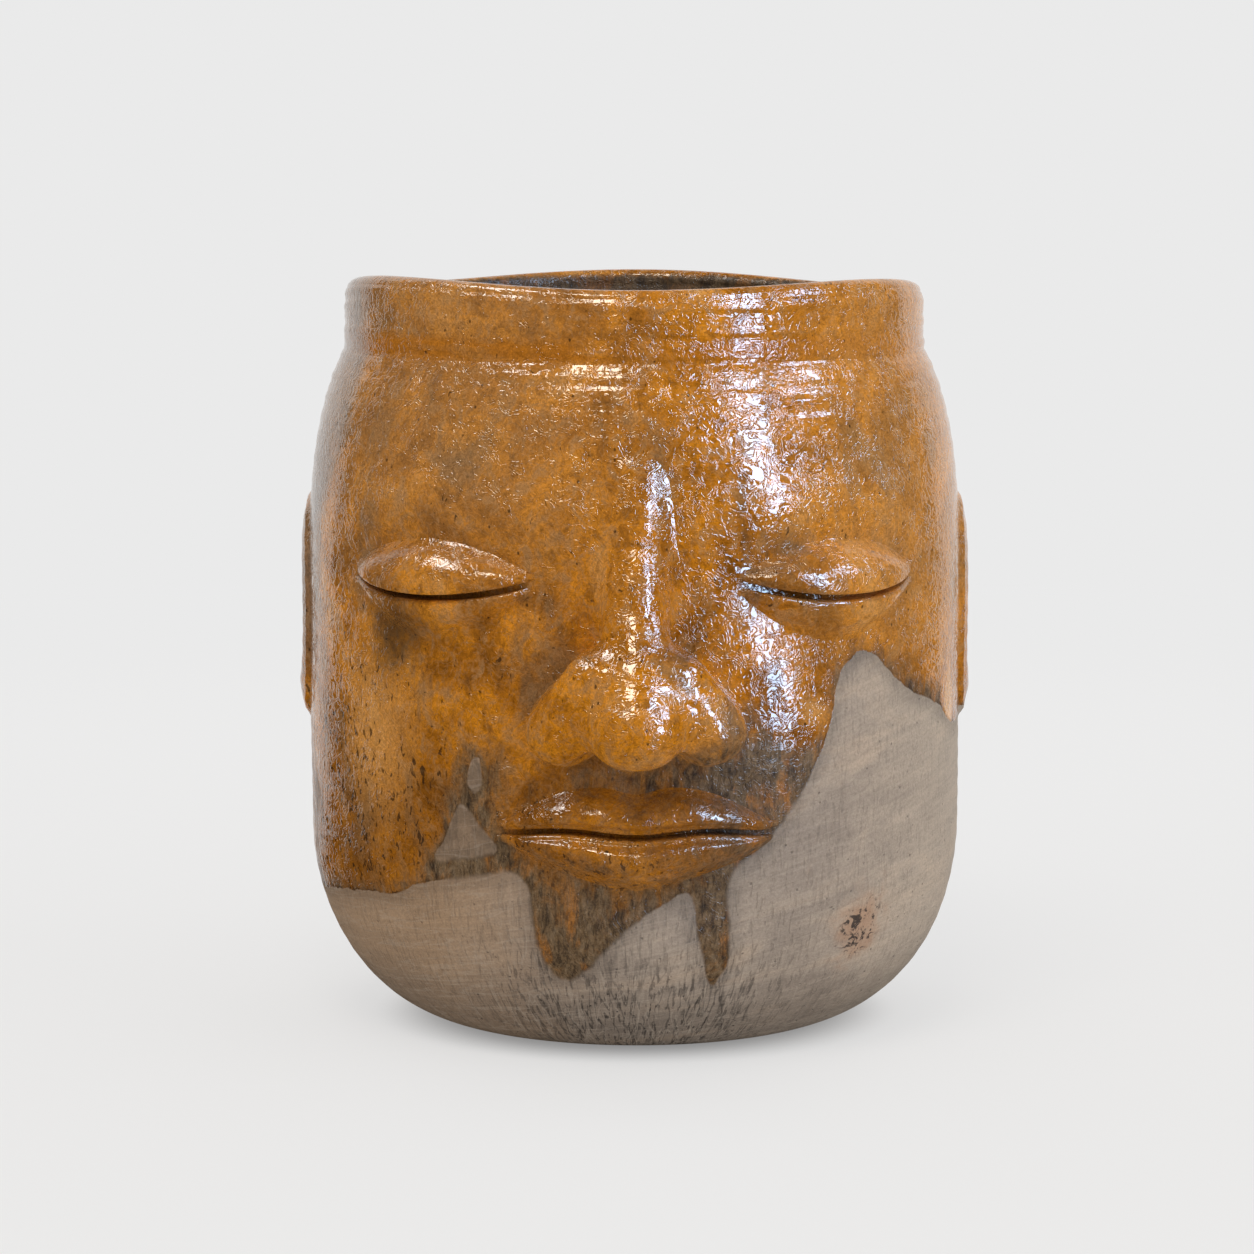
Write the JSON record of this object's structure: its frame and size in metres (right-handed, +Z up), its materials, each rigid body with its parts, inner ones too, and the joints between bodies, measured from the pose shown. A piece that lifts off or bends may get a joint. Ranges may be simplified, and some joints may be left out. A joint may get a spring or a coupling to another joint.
{
  "type": "ceramic planter",
  "caption": "Round stoneware planter shaped as a head, with a calm closed-eyed face, ears, a thick rim collar and a drained floor; it stands free and holds a potted plant.",
  "frame": {"origin": "middle of the flat underside of the slab, on the floor, on the axis of the pot", "axes": "+Z up along the pot's axis, -Y the way the face looks, +X to the right of someone looking at the face"},
  "size_m": [0.238, 0.264, 0.2631],
  "materials": {
    "amber_glaze": "gloss",
    "half_glazed_wall": "satin",
    "bare_clay": "matte"
  },
  "bodies": {
    "root": {"base_slab": "bare_clay", "body_wall": "half_glazed_wall", "rim_collar": "amber_glaze", "nose_bridge": "amber_glaze", "nose_tip": "amber_glaze", "left_nostril_wing": "amber_glaze", "right_nostril_wing": "amber_glaze", "left_upper_eyelid": "amber_glaze", "left_lower_eyelid": "amber_glaze", "right_upper_eyelid": "amber_glaze", "right_lower_eyelid": "amber_glaze", "upper_lip": "amber_glaze", "lower_lip": "amber_glaze", "left_ear": "amber_glaze", "right_ear": "amber_glaze"}
  },
  "joints": []
}
